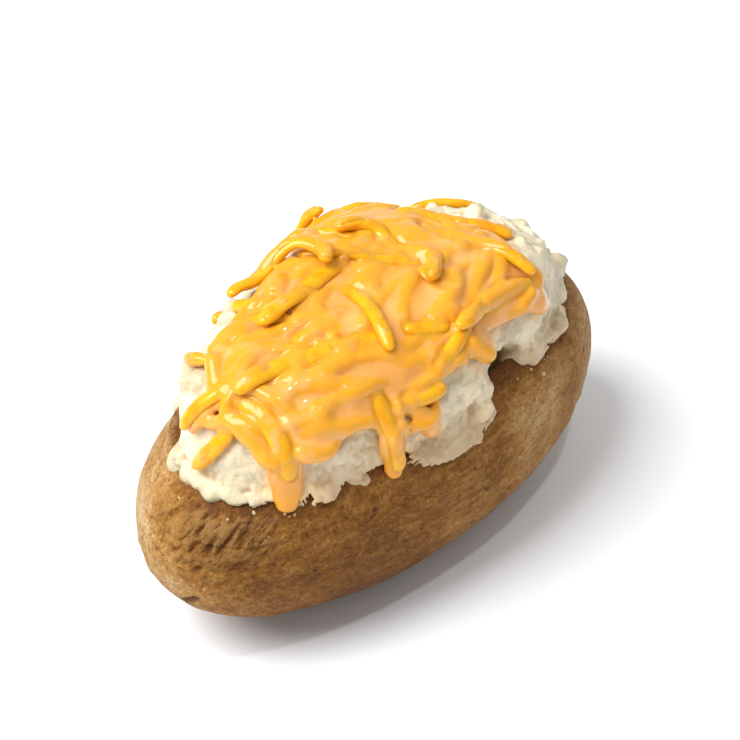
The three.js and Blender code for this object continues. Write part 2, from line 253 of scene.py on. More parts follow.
def principled(name):
    """A new material with its principled shader. Gives the material, its bench and a function to set it."""
    material = bpy.data.materials.new(name)
    material.use_nodes = True
    bench = Bench(material.node_tree)
    shader = material.node_tree.nodes["Principled BSDF"]

    def finish(**sockets):
        for key, value in sockets.items():
            socket = shader.inputs[key.replace("_", " ")]
            if isinstance(value, Link):
                material.node_tree.links.new(value.socket, socket)
            else:
                socket.default_value = value

    return material, bench, finish


# Straw is the palest skin colour, made greyer to stand in for a painted sheen where the skin is lightest.
SKIN_STRAW_AND_SHEEN = (0.50, 0.35, 0.175, 1)
SKIN_TAN = (0.37, 0.19, 0.052, 1)
SKIN_CREST_HIGHLIGHT = (0.40, 0.225, 0.07, 1)
SKIN_BROWN = (0.20, 0.079, 0.011, 1)
SKIN_UMBER = (0.095, 0.034, 0.008, 1)
SKIN_SPECK = (0.04, 0.016, 0.007, 1)
SKIN_BURNT = (0.13, 0.042, 0.012, 1)
SKIN_INSIDE = (0.50, 0.33, 0.13, 1)
SKIN_SHADES = [(0.0, SKIN_STRAW_AND_SHEEN), (0.3, SKIN_TAN), (0.68, SKIN_BROWN), (1.0, SKIN_UMBER)]

PATCH_SIZE = 22 * MM
STREAK_SIZE = 2.0 * MM
MOTTLE_SIZE = 1.3 * MM
GRAIN_SIZE = 0.55 * MM
NET_SIZE = 1.5 * MM
PORE_SPACING = 1.7 * MM
FRECKLE_SPACING = 5.5 * MM


def skin_finish():
    material, bench, finish = principled("baked skin")
    place = bench.add("ShaderNodeTexCoord", {}, {}, "Object")
    x, y, z = bench.parts(place)
    crest = bench.attribute("crest")
    crinkled = bench.attribute("crinkled")
    below_rim = bench.attribute("below_rim")
    lengthwise = bench.stretched(place, (0.3, 1, 1))

    patches = bench.noise(place, PATCH_SIZE, 4, 0.6)
    streaks = bench.noise(lengthwise, STREAK_SIZE, 5, 0.7, 0.4)
    mottle = bench.noise(place, MOTTLE_SIZE, 4, 0.7, 0.3)
    grain = bench.noise(bench.stretched(place, (0.6, 1, 1)), GRAIN_SIZE, 3, 0.75)

    # Painted shade darkens the front and low down, weaker at both ends, where it stands in for painted light
    # and sheen.
    # The folds and the skin under the rim at the +X end are darker too.
    front_painted_shade = (x * 0.45 - y).ramped(-0.04, 0.004) * x.ramped(-30 * MM, 30 * MM, 1.0, 0.32)
    low_painted_shade = z.ramped(24 * MM, 4 * MM)
    under_rim = below_rim.ramped(12 * MM, 1 * MM) * x.ramped(-10 * MM, 25 * MM)
    brownness = 0.13 + front_painted_shade * 0.56 + crinkled * 0.5 + low_painted_shade * 0.3
    brownness = brownness + under_rim * 0.4
    brownness = brownness + (patches - 0.5) * 1.2 + (streaks - 0.5) * 1.05
    brownness = brownness + (mottle - 0.5) * 0.8 + (grain - 0.5) * 0.95
    colour = bench.add("ShaderNodeValToRGB", {"stops": SKIN_SHADES}, {"Fac": brownness}, "Color")

    netting = bench.cells(lengthwise, NET_SIZE, "DISTANCE_TO_EDGE")
    # Pale flecks on the net lines: the skin's netting, partly painted small highlights.
    colour = bench.mixed(netting.ramped(0.09, 0.0) * grain.ramped(0.4, 0.65) * 0.2, colour, SKIN_STRAW_AND_SHEEN)
    freckle = bench.cells(place, FRECKLE_SPACING)
    freckled = freckle.ramped(0.17, 0.09) * bench.noise(place, 6 * MM).ramped(0.42, 0.58)
    colour = bench.mixed(freckled * 0.8, colour, SKIN_SPECK)
    pore = bench.cells(lengthwise, PORE_SPACING)
    colour = bench.mixed(pore.ramped(0.24, 0.1) * mottle.ramped(0.4, 0.6) * 0.7, colour, SKIN_UMBER)

    # Painted highlight on the crests of the folds, painted shade in their grooves and in the crease.
    colour = bench.mixed(crest.ramped(0.2, 0.6, curve="LINEAR") * 0.45, colour, SKIN_CREST_HIGHLIGHT)
    colour = bench.mixed(crest.ramped(0.05, -0.35, curve="LINEAR") * 0.8, colour, SKIN_UMBER)
    burnt = below_rim.ramped(5 * MM, 0.3 * MM) * bench.noise(place, 7 * MM, 3).ramped(0.36, 0.56)
    colour = bench.mixed(burnt * 0.75, colour, SKIN_BURNT)
    colour = bench.mixed(bench.attribute("inside").ramped(0.35, 0.8), colour, SKIN_INSIDE)

    height = grain * 0.30 + mottle * 0.55 + streaks * 0.35 + netting.ramped(0.12, 0) * 0.16
    height = height - freckled * 0.25 - pore.ramped(0.22, 0.08) * 0.2
    finish(
        Base_Color=colour,
        Roughness=(0.46 + grain * 0.24 + patches * 0.1 - crinkled * 0.14).at_most(0.9),
        Normal=bench.bumped(height, 0.85, 0.7 * MM),
        Specular_IOR_Level=0.1,
    )
    return material


def signed_power(link, power):
    return link.maths("SIGN") * abs(link) ** power


jacket_sizes = {
    "Half length": 67 * MM,
    "Half width": 34 * MM,
    "Half depth": 29.5 * MM,
    "Squareness": 2.2,
    "Taper": 0.05,
    "Rise": 0.04,
    "Foot angle": -78.0,
    "Rim angle": 38.0,
    "Rim tilt": 2.4,
    "Skin": 1.6 * MM,
    "Dent": 0.6 * MM,
    "Dent size": 13 * MM,
    "Lump": 0.55 * MM,
    "Crinkle": 1.9 * MM,
    "Pit": 0.16 * MM,
    "Tear": 1.5,
    "Raised": 6.0,
}
FOOT_ROWS, SKIN_ROWS, LIP_ROWS, WALL_ROWS, FLOOR_ROWS = 8, 132, 6, 16, 4
ROWS = FOOT_ROWS + SKIN_ROWS + LIP_ROWS + WALL_ROWS + FLOOR_ROWS
COLUMNS = 520
DOWN_A_DEGREE = 0.56  # millimetres down the skin near the rim for one degree of polar angle

TIP_AZIMUTH = math.radians(153)  # a torn tip of skin that stands up
TIP_LEAN, TIP_LIFT = 2.6, 4.5  # millimetres outward and up
RAISED_AZIMUTH = math.radians(-74)  # where the rim stands higher, under the notch in the heap
CRINKLED_PLACE = (-56 * MM, -5 * MM, 43 * MM)
FOLD_RUN = (0.81, -0.22, 0.54)  # the folds run this way
FOLD_STRETCH = 0.76  # how far their pattern is drawn out that way, from 0 for not at all to 1
CREASE_PLACE = (-63.5 * MM, -5 * MM, 21 * MM)
CREASE_DEPTH = 1.1  # millimetres
EYE_DEPTH, EYE_BROW = 0.9, 0.25  # millimetres: each bud lies in a pit with a low brow round it
EYES = [
    (-38, -33, 26), (12, -34, 22), (44, -27, 20), (30, 32, 30), (-25, 33, 24), (60, 12, 22), (-62, 10, 24)
]


def jacket_bench(material):
    """A grid of azimuth by row wrapped into the shell: flat spot, skin, torn lip, inner wall and floor."""
    bench, size = geometry_bench("jacket", jacket_sizes)
    grid = bench.add(
        "GeometryNodeMeshGrid",
        {},
        {"Size X": 360.0, "Size Y": ROWS, "Vertices X": COLUMNS + 1, "Vertices Y": ROWS + 1},
    )
    column, row, _ = bench.parts(bench.add("GeometryNodeInputPosition"))
    azimuth = column.maths("RADIANS")
    row = row + ROWS / 2

    def progress(rows_before, rows):
        return row.ramped(rows_before, rows_before + rows, curve="LINEAR")

    up_foot = progress(0, FOOT_ROWS)
    up_skin = progress(FOOT_ROWS, SKIN_ROWS)
    over_lip = progress(FOOT_ROWS + SKIN_ROWS, LIP_ROWS)
    down_wall = progress(FOOT_ROWS + SKIN_ROWS + LIP_ROWS, WALL_ROWS)
    in_floor = progress(ROWS - FLOOR_ROWS, FLOOR_ROWS)

    # The torn rim is uneven, higher at one place, and drawn up to a tip at another.
    east = azimuth.maths("COSINE")
    north = azimuth.maths("SINE")
    rounded = bench.point(east, north, 0.0)
    tears = (bench.noise(rounded, 0.11, 4, 0.62) - 0.5) * 2 + (bench.noise(rounded, 0.03, 2) - 0.5) * 0.9
    tip = abs(azimuth - TIP_AZIMUTH).ramped(math.radians(7), math.radians(1))
    raised = abs(azimuth - RAISED_AZIMUTH).ramped(math.radians(11), math.radians(3))
    rim = size["Rim angle"] + size["Rim tilt"] * north + tears * size["Tear"] + tip * 2
    rim = rim + raised * size["Raised"]
    climbed = size["Foot angle"] + (rim - size["Foot angle"]) * up_skin
    polar_degrees = climbed + (size["Foot angle"] - rim) * down_wall
    polar = polar_degrees.maths("RADIANS")

    # The smooth body is a slightly boxy ellipsoid, wider and higher at its +X end.
    power = 2 / size["Squareness"]
    ring = signed_power(polar.maths("COSINE"), power)
    along = ring * signed_power(east, power)
    across = ring * signed_power(north, power)
    up = signed_power(polar.maths("SINE"), power)
    centre = -size["Half depth"] * signed_power(size["Foot angle"].maths("RADIANS").maths("SINE"), power)
    x = size["Half length"] * along
    y = size["Half width"] * across * (1 + size["Taper"] * along)
    z = centre + size["Half depth"] * up * (1 + size["Rise"] * along * up.above(0))
    smooth_place = bench.point(x, y, z)

    lean = size["Squareness"] - 1
    outward = bench.vector(
        "NORMALIZE",
        bench.point(
            signed_power(along, lean) / size["Half length"],
            signed_power(across, lean) / size["Half width"],
            signed_power(up, lean) / size["Half depth"],
        ),
    )

    # Broad dents, then lumps, and folds round the end of the split that run along FOLD_RUN.
    wave_along = (x / size["Dent size"] + 1).maths("SINE")
    wave_up = ((y + z) / size["Dent size"]).maths("COSINE")
    dent = size["Dent"] * wave_along * wave_up * polar_degrees.ramped(-70, -35)
    below_rim = (rim - polar_degrees) * DOWN_A_DEGREE * MM

    lumps = (bench.noise(smooth_place, 13 * MM, 2) - 0.5) * 1.5
    lumps = lumps + (bench.noise(smooth_place, 5 * MM, 2) - 0.5) * 0.55
    crinkled = bench.gap(smooth_place, CRINKLED_PLACE).ramped(23 * MM, 7 * MM)
    by_the_rim = below_rim.ramped(9 * MM, 1 * MM) * bench.noise(rounded, 0.4, 2).ramped(0.4, 0.62) * 0.25
    crinkled = crinkled.at_least(by_the_rim)
    round_the_end = bench.point(east * 6 * MM, north * 6 * MM, below_rim)
    folds = bench.noise(round_the_end, 4.2 * MM, 2, 0.5, 0.9)
    ridge = 1 - abs(folds - 0.5) * 7
    run = bench.dot(smooth_place, FOLD_RUN)
    drawn_out = bench.vector("SCALE", FOLD_RUN, scale=run * FOLD_STRETCH)
    pleated = bench.vector("SUBTRACT", smooth_place, drawn_out)
    pleats = 1 - abs(bench.noise(pleated, 3.0 * MM, 2, 0.55, 0.7) - 0.5) * 8
    finer = 1 - abs(bench.noise(pleated, 1.5 * MM, 2, 0.5, 0.5) - 0.5) * 6
    crest = ridge.at_least(-0.5) * 0.28 + pleats.at_least(-0.7) * 0.6 + finer.at_least(-0.6) * 0.16 - 0.1
    crest = crest * crinkled * below_rim.ramped(3 * MM, 7 * MM, 0.1, 1.0)

    # One short deep crease at the -X end, fine pits, and the eyes.
    to_crease = bench.vector("SUBTRACT", smooth_place, CREASE_PLACE)
    _, crease_y, crease_z = bench.parts(to_crease)
    crease_across = abs(crease_z * 0.75 + crease_y * 0.62).ramped(1.1 * MM, 0.0)
    crease = crease_across * bench.vector("LENGTH", to_crease).of("Value").ramped(5.5 * MM, 2 * MM)

    pits = bench.cells(smooth_place, 4.2 * MM).ramped(0.24, 0.04)
    relief = size["Lump"] * lumps + size["Crinkle"] * crest - size["Pit"] * pits - crease * CREASE_DEPTH * MM
    for eye in EYES:
        eye_gap = bench.gap(smooth_place, tuple(value * MM for value in eye))
        brow = eye_gap.ramped(5.5 * MM, 4 * MM) * eye_gap.ramped(2 * MM, 4 * MM)
        relief = relief - eye_gap.ramped(4.5 * MM, 0.8 * MM) * EYE_DEPTH * MM + brow * EYE_BROW * MM
    relief = relief * polar_degrees.ramped(-72, -48) * (1 - over_lip)

    # Over the lip the shell turns in by the skin's thickness. The torn tip leans out and stands up.
    lip_bulge = (over_lip * math.pi).maths("SINE") * 0.35 * MM
    standing = tip * below_rim.ramped(7 * MM, 0)
    outset = dent + relief + standing * TIP_LEAN * MM - size["Skin"] * over_lip * (1 - standing * 0.4)
    skinned = bench.vector("ADD", smooth_place, bench.vector("SCALE", outward, scale=outset))
    skinned = bench.vector("ADD", skinned, bench.point(0.0, 0.0, standing * TIP_LIFT * MM))
    skin_x, skin_y, skin_z = bench.parts(skinned)
    outer_z = (skin_z + lip_bulge).at_least(0.0)
    floor_z = size["Skin"] + (skin_z - size["Skin"]) * (1 - in_floor)
    wrapped_z = bench.add(
        "GeometryNodeSwitch",
        {"input_type": "FLOAT"},
        {"Switch": in_floor.above(0), "False": outer_z, "True": floor_z},
    )
    inward = up_foot * (1 - in_floor)
    wrapped = bench.point(skin_x * inward, skin_y * inward, wrapped_z)

    marks = {
        "crest": crest * (1 - over_lip) - crease,
        "crinkled": crinkled,
        "below_rim": below_rim,
        "inside": over_lip,
    }
    shell = placed(bench, marked(bench, grid, marks), wrapped)
    shell = bench.add("GeometryNodeMergeByDistance", {}, {"Geometry": shell, "Distance": 0.01 * MM})
    end_tree(bench, shell, material)
    return bench


skin = skin_finish()
jacket = worked("baked_jacket", bpy.data.meshes.new("blank"), jacket_bench(skin), jacket_sizes)
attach(jacket, "root")
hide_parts("potato_jacket")

# ------------------------------------------------------------------------------------------------- the flesh
# Steamed white flesh, mealy and breaking into crumbs, squeezed up through the split into a heap that hangs
# over the torn rim in lobes. It is one mass of lumps, waxy where it is smooth and dry where it crumbles.


def copied(name, *nodes):
    """One mesh from copies of CAD nodes, their corners merged."""
    shape = bmesh.new()
    for node in nodes:
        shape.from_mesh(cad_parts[node].data)
    bmesh.ops.remove_doubles(shape, verts=shape.verts, dist=0.001 * MM)
    mesh = bpy.data.meshes.new(name)
    shape.to_mesh(mesh)
    shape.free()
    return mesh


SCRAP = 3000  # faces: a closed part with fewer is a scrap of the volume, not part of the food


def remeshed(bench, mesh, voxel, adaptivity=0.0):
    """Overlapping closed meshes made into one skin, without scraps."""
    volume = bench.add(
        "GeometryNodeMeshToVolume",
        {"resolution_mode": "VOXEL_SIZE"},
        {"Mesh": mesh, "Density": 1.0, "Voxel Size": voxel, "Interior Band Width": 3 * MM},
    )
    body = bench.add(
        "GeometryNodeVolumeToMesh",
        {"resolution_mode": "VOXEL_SIZE"},
        {"Volume": volume, "Voxel Size": voxel, "Threshold": 0.1, "Adaptivity": adaptivity},
    )
    body = bench.add("GeometryNodeMergeByDistance", {}, {"Geometry": body, "Distance": 0.02 * MM})
    island = bench.add("GeometryNodeInputMeshIsland", {}, {}, "Island Index")
    faces = bench.add(
        "GeometryNodeAccumulateField",
        {"data_type": "INT", "domain": "FACE"},
        {"Value": 1, "Group ID": island},
        "Total",
    )
    return bench.add(
        "GeometryNodeDeleteGeometry", {"domain": "FACE"}, {"Geometry": body, "Selection": SCRAP - faces}
    )


def moved(bench, body, offset):
    return bench.add("GeometryNodeSetPosition", {}, {"Geometry": body, "Offset": offset})


def swollen(bench, body, amount):
    """The body with its points moved along their normals."""
    return moved(bench, body, bench.vector("SCALE", bench.add("GeometryNodeInputNormal"), scale=amount))


def averaged(bench, value, rounds):
    """A vector field evened out over neighbouring points."""
    sockets = {"Value": value, "Iterations": rounds}
    return bench.add("GeometryNodeBlurAttribute", {"data_type": "FLOAT_VECTOR"}, sockets)


def hollowness(bench, rounds):
    """How far a point lies below its surroundings."""
    place = bench.add("GeometryNodeInputPosition")
    below = bench.vector("SUBTRACT", averaged(bench, place, rounds), place)
    return bench.dot(below, bench.add("GeometryNodeInputNormal"))


def shape_of(bench, other):
    return bench.add("GeometryNodeObjectInfo", {}, {"Object": other}, "Geometry")


def nearest(bench, faces, out="Distance"):
    return bench.add("GeometryNodeProximity", {"target_element": "FACES"}, {0: faces}, out)


def out_of_the_heap(bench, place):
    """The way out of the heap at a place on it."""
    x, y, z = bench.parts(place)
    return bench.vector("NORMALIZE", bench.point(x * 0.3, y * 0.8, z - 25 * MM))


def scattered(bench, faces, density, selection, seed):
    sockets = {"Mesh": faces, "Selection": selection, "Density": density, "Seed": seed}
    settings = {"distribute_method": "RANDOM"}
    return bench.add("GeometryNodeDistributePointsOnFaces", settings, sockets, "Points")


def chance(bench, kind, low, high, seed):
    sockets = {"Min": low, "Max": high, "Seed": seed}
    return bench.add("FunctionNodeRandomValue", {"data_type": kind}, sockets, "Value")


def any_turn(bench, seed):
    return chance(bench, "FLOAT_VECTOR", (0, 0, 0), (6.28, 6.28, 6.28), seed)


def set_out(bench, points, shape, turn, scale):
    """Real copies of a shape on points."""
    sockets = {"Points": points, "Instance": shape, "Rotation": turn, "Scale": scale}
    copies = bench.add("GeometryNodeInstanceOnPoints", {}, sockets)
    return bench.add("GeometryNodeRealizeInstances", {}, {"Geometry": copies})


FLESH_CREAM = (0.77, 0.705, 0.53, 1)
FLESH_WAX = (0.41, 0.365, 0.225, 1)
FLESH_SHADED = (0.52, 0.355, 0.20, 1)
FLESH_HOLLOW_SHADE = (0.46, 0.30, 0.12, 1)
FLESH_STAINED = (0.93, 0.66, 0.36, 1)


WAX_PLACE = (-53 * MM, -8 * MM, 46 * MM)  # the flesh is waxiest here


def flesh_finish():
    material, bench, finish = principled("mealy flesh")
    place = bench.add("ShaderNodeTexCoord", {}, {}, "Object")
    from_cheese = bench.attribute("from_cheese")
    waxy = bench.noise(place, 7 * MM, 3).ramped(0.42, 0.6)
    waxy = waxy.at_least(bench.gap(place, WAX_PLACE).ramped(13 * MM, 7 * MM) * 0.8)
    crumb = bench.noise(place, 0.8 * MM, 3, 0.6)
    _, y, z = bench.parts(place)
    hem = z.ramped(50 * MM, 45.5 * MM) * bench.noise(place, 5 * MM, 2).ramped(0.3, 0.55, 0.3, 1.0)
    colour = bench.mixed((waxy * 0.6).at_least(hem * 0.85), FLESH_CREAM, FLESH_WAX)
    shaded = z.ramped(57 * MM, 45 * MM) * y.ramped(-12 * MM, -24 * MM)
    colour = bench.mixed(shaded * 0.7, colour, FLESH_SHADED)
    # Painted shade in the hollows of the heap and in the small pits between crumbs.
    colour = bench.mixed(bench.attribute("hollow").ramped(0.0, 0.3 * MM) * 0.7, colour, FLESH_HOLLOW_SHADE)
    colour = bench.mixed(crumb.ramped(0.6, 0.35) * 0.16, colour, FLESH_HOLLOW_SHADE)
    stained = from_cheese.ramped(3.6 * MM, 0.2 * MM) * bench.noise(place, 4 * MM).ramped(0.3, 0.65)
    colour = bench.mixed(stained * 0.75, colour, FLESH_STAINED)
    height = crumb * 0.6 + bench.noise(place, 0.4 * MM, 2) * 0.25
    finish(
        Base_Color=colour,
        Roughness=0.55 - waxy * 0.2,
        Normal=bench.bumped(height, 0.4, 0.4 * MM),
        Specular_IOR_Level=0.4,
        Subsurface_Weight=0.45,
        Subsurface_Radius=(1.0, 0.7, 0.4),
        Subsurface_Scale=1.6 * MM,
    )
    return material


shred_names = sorted(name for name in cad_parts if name.startswith("cheese_shred"))


def hidden_object(mesh):
    """An object for a geometry tree to read, which is not part of the model."""
    made = bpy.data.objects.new(mesh.name, mesh)
    bpy.context.scene.collection.objects.link(made)
    return made


flesh_sizes = {
    "Lump": 1.8 * MM,
    "Crumb density": 0.07 / MM**2,
    "Smallest crumb": 0.9 * MM,
    "Largest crumb": 2.4 * MM,
    "Chunk density": 0.02 / MM**2,
    "Smallest chunk": 2.4 * MM,
    "Largest chunk": 5.2 * MM,
    "Voxel": 0.5 * MM,
    "Grain": 0.46 * MM,
    "Lowest": 33 * MM,
    "Hem": 1.1 * MM,
}
PRESSED_PLACES = [((15, -28, 48), (0, 8.5, -1)), ((-47, 18, 50), (5, -3.5, 0))]  # millimetres: place, push
TIP_PLACE = (-47 * MM, 17 * MM, 51 * MM)  # the torn tip of skin, which flesh keeps clear of
CLUMP_PLACE = (4 * MM, -29 * MM, 47 * MM)  # beside the notch, where chunks have gathered


def flesh_bench(material):
    bench, size = geometry_bench("flesh", flesh_sizes, ["Cheese", "Jacket"])
    place = bench.add("GeometryNodeInputPosition")
    x, y, z = bench.parts(place)
    from_cheese = nearest(bench, shape_of(bench, size["Cheese"]))
    from_skin = nearest(bench, shape_of(bench, size["Jacket"]))
    bare = from_cheese.ramped(0.4 * MM, 2.4 * MM)

    # The heap heaves where no cheese lies on it, hangs over the rim in lobes and is pressed in twice.
    fine = bench.add("GeometryNodeSubdivideMesh", {}, {"Mesh": size["Geometry"], "Level": 2})
    outward = out_of_the_heap(bench, place)
    swell = (bench.noise(place, 8 * MM, 3, 0.55) - 0.5) * 2.6
    heave = (swell * size["Lump"] * bare - (1 - bare) * 0.35 * MM) * z.ramped(36 * MM, 44 * MM)
    by_the_tip = bench.gap(place, TIP_PLACE).ramped(10 * MM, 8 * MM)
    hem = z.ramped(55 * MM, 48 * MM) * z.ramped(38 * MM, 43 * MM)
    lobes = bench.noise(place, 7 * MM, 1).ramped(0.36, 0.62, -0.2 * MM, 1.5 * MM) * (1 - by_the_tip)
    offset = bench.vector("SCALE", outward, scale=heave * (1 - hem * 0.8) + lobes * hem)
    for pressed_place, push in PRESSED_PLACES:
        pressed = bench.gap(place, tuple(value * MM for value in pressed_place)).ramped(10 * MM, 4 * MM)
        inward = bench.vector("SCALE", tuple(value * MM for value in push), scale=pressed)
        offset = bench.vector("ADD", bench.vector("SCALE", offset, scale=1 - pressed), inward)
    heaved = moved(bench, fine, offset)
    raised = placed(bench, heaved, bench.point(x, y, z.at_least(size["Lowest"])))

    def strewn(density, kind, lowest, clear, seed):
        """Irregular lumps of flesh over the heap, above lowest and clear of the cheese."""
        smallest, largest = size["Smallest " + kind], size["Largest " + kind]
        spots = scattered(bench, heaved, density, z.above(lowest) * from_cheese.above(clear), seed)
        ball = bench.add("GeometryNodeMeshIcoSphere", {}, {"Radius": 1.0, "Subdivisions": 2})
        bulk = smallest + (largest - smallest) * chance(bench, "FLOAT", 0.0, 1.0, seed + 1) ** 2.0
        bedded = moved(bench, spots, bench.vector("SCALE", spots.of("Normal"), scale=bulk * -0.35))
        squash = chance(bench, "FLOAT_VECTOR", (0.7, 0.6, 0.5), (1.15, 1.0, 0.9), seed + 2)
        squashed = bench.vector("SCALE", squash, scale=bulk)
        return set_out(bench, bedded, ball, any_turn(bench, seed + 3), squashed)

    clump = bench.noise(place, 9 * MM, 1).ramped(0.42, 0.58, 0.1, 1.0) * (1 - by_the_tip)
    crumbs = strewn(size["Crumb density"] * clump, "crumb", 44 * MM, 1.4 * MM, 4)
    clumped = bench.gap(place, CLUMP_PLACE).ramped(13 * MM, 7 * MM)
    chunk_density = size["Chunk density"] * (1 + clumped * 3) * (1 - by_the_tip)
    chunks = strewn(chunk_density, "chunk", 46.5 * MM, 2.4 * MM, 21)
    chunks = swollen(bench, chunks, (bench.noise(place, 3.5 * MM, 2) - 0.5) * 2.2 * MM)

    # Heap and lumps become one skin, which is evened, swelled where it lies on the jacket and roughened.
    mass = bench.add("GeometryNodeJoinGeometry", {}, {"Geometry": [raised, crumbs, chunks]})
    body = remeshed(bench, mass, size["Voxel"], 0.04)
    eased = averaged(bench, place, 3)
    body = placed(bench, body, eased)
    plump = from_skin.ramped(2.6 * MM, 0.6 * MM) * z.ramped(38 * MM, 40 * MM) * size["Hem"]
    body = placed(bench, swollen(bench, body, plump), eased)
    crumbly = bench.cells(place, 1.7 * MM).ramped(0.7, 0.0, curve="LINEAR") - 0.5
    crumbly = crumbly * 0.8 + (bench.noise(place, 0.9 * MM, 2) - 0.5) * 0.9
    roughened = crumbly * size["Grain"] * from_cheese.ramped(0.2 * MM, 1.5 * MM)
    body = swollen(bench, body, roughened * from_skin.ramped(0.2 * MM, 1.6 * MM, 0.2, 1.0))
    body = marked(bench, body, {"hollow": hollowness(bench, 14), "from_cheese": from_cheese})
    end_tree(bench, body, material)
    return bench


all_cheese = hidden_object(copied("all_cheese", "cheese_sauce", *shred_names))
flesh_material = flesh_finish()
flesh = worked(
    "mealy_flesh",
    copied("flesh", "potato_flesh"),
    flesh_bench(flesh_material),
    {**flesh_sizes, "Cheese": all_cheese, "Jacket": jacket},
)
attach(flesh, "root")
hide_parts("potato_flesh")

# ------------------------------------------------------------------------------------------------ the crumbs
# Crumbs of flesh that have dropped off the heap while it was filled and stuck to the oily skin under the
# rim. They are small irregular grains of the same flesh, most of them on the open front side.

crumb_sizes = {
    "Density": 0.15 / MM**2,
    "Smallest": 0.2 * MM,
    "Largest": 0.7 * MM,
    "Lowest": 38 * MM,
    "Highest": 46 * MM,
}


FAR_FROM_CHEESE = 9 * MM  # too far for a crumb to be stained by it


def crumb_bench(material):
    bench, size = geometry_bench("crumbs", crumb_sizes, ["Jacket"])
    place = bench.add("GeometryNodeInputPosition")
    x, y, z = bench.parts(place)
    outside = bench.dot(bench.add("GeometryNodeInputNormal"), bench.point(x * 0.3, y, 0.0))
    band = outside.above(0.0) * z.above(size["Lowest"]) * (size["Highest"] - z).above(0.0)
    thinned = bench.noise(place, 10 * MM, 2).ramped(0.46, 0.62) * y.ramped(10 * MM, -20 * MM, 0.15, 1.0)
    thinned = thinned * x.ramped(40 * MM, 28 * MM)
    density = thinned * z.ramped(size["Lowest"], size["Highest"]) * size["Density"]
    spots = scattered(bench, shape_of(bench, size["Jacket"]), density, band, 11)

    mostly_small = chance(bench, "FLOAT", 0.0, 1.0, 12) ** 2.2
    bulk = size["Smallest"] + (size["Largest"] - size["Smallest"]) * mostly_small
    squash = chance(bench, "FLOAT_VECTOR", (0.8, 0.6, 0.5), (1.2, 1.0, 0.9), 13)
    grain = bench.add("GeometryNodeMeshIcoSphere", {}, {"Radius": 1.0, "Subdivisions": 2})
    crumbs = set_out(bench, spots, grain, any_turn(bench, 14), bench.vector("SCALE", squash, scale=bulk))
    crumbs = swollen(bench, crumbs, (bench.noise(place, 0.7 * MM, 2) - 0.5) * 0.45 * MM)
    end_tree(bench, marked(bench, crumbs, {"from_cheese": FAR_FROM_CHEESE}), material)
    return bench


crumbs = worked(
    "fallen_crumbs",
    bpy.data.meshes.new("blank"),
    crumb_bench(flesh_material),
    {**crumb_sizes, "Jacket": jacket},
)
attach(crumbs, "root")

# ------------------------------------------------------------------------------------------------- the sauce
# Warm cheese sauce poured over the heap: a smooth glossy cap a few millimetres thick, with thick runs down
# the front. It climbs the sides of the shreds that lie in it, and shreds drowned in it show as soft ridges.

SAUCE_PEACH = (0.75, 0.345, 0.08, 1)
SAUCE_ORANGE = (0.71, 0.325, 0.004, 1)
SAUCE_DEEP_AND_SHADE = (0.70, 0.29, 0.005, 1)
SAUCE_CREASE_SHADE = (0.60, 0.20, 0.006, 1)
SAUCE_PALE = (0.79, 0.42, 0.13, 1)


def sauce_finish():
    material, bench, finish = principled("cheese sauce")
    place = bench.add("ShaderNodeTexCoord", {}, {}, "Object")
    _, _, z = bench.parts(place)
    pools = bench.noise(place, 11 * MM, 3)
    colour = bench.mixed(pools.ramped(0.42, 0.6) * 0.75, SAUCE_PEACH, SAUCE_PALE)
    by_shreds = bench.attribute("from_shreds").ramped(1.1 * MM, 0.3 * MM)
    melted = by_shreds * bench.noise(place, 5 * MM, 2).ramped(0.25, 0.5)
    melted = melted.at_least(bench.noise(place, 16 * MM, 2).ramped(0.54, 0.66) * 0.6)
    colour = bench.mixed(melted * 0.85, colour, SAUCE_ORANGE)
    # Painted shade in the creases between the strands.
    colour = bench.mixed(bench.attribute("sunk").ramped(0.02 * MM, 0.4 * MM) * 0.6, colour, SAUCE_CREASE_SHADE)
    # The runs low down are a deeper orange, partly the sauce's colour and partly painted shade.
    colour = bench.mixed(z.ramped(57 * MM, 47 * MM) * 0.85, colour, SAUCE_DEEP_AND_SHADE)
    ripple = bench.noise(place, 3 * MM, 2) * 0.7 + bench.noise(place, 1.1 * MM, 1) * 0.12
    finish(
        Base_Color=colour,
        Roughness=0.24 + pools * 0.14,
        Normal=bench.bumped(ripple, 0.25, 0.5 * MM),
        Specular_IOR_Level=0.14,
        Subsurface_Weight=0.5,
        Subsurface_Radius=(1.0, 0.45, 0.15),
        Subsurface_Scale=2.2 * MM,
        Coat_Weight=0.6,
        Coat_Roughness=0.045,
    )
    return material


sauce_sizes = {
    "Voxel": 0.45 * MM,
    "Thinnest coat": -0.45 * MM,
    "Thickest coat": 0.5 * MM,
    "Drowned gap": 5 * MM,
    "Shortest": 11 * MM,
    "Longest": 24 * MM,
    "Bend": 6 * MM,
    "Drowned radius": 1.75 * MM,
    "Wave": 0.55 * MM,
    "Swell": 0.6 * MM,
    "Taper": 0.7 * MM,
}


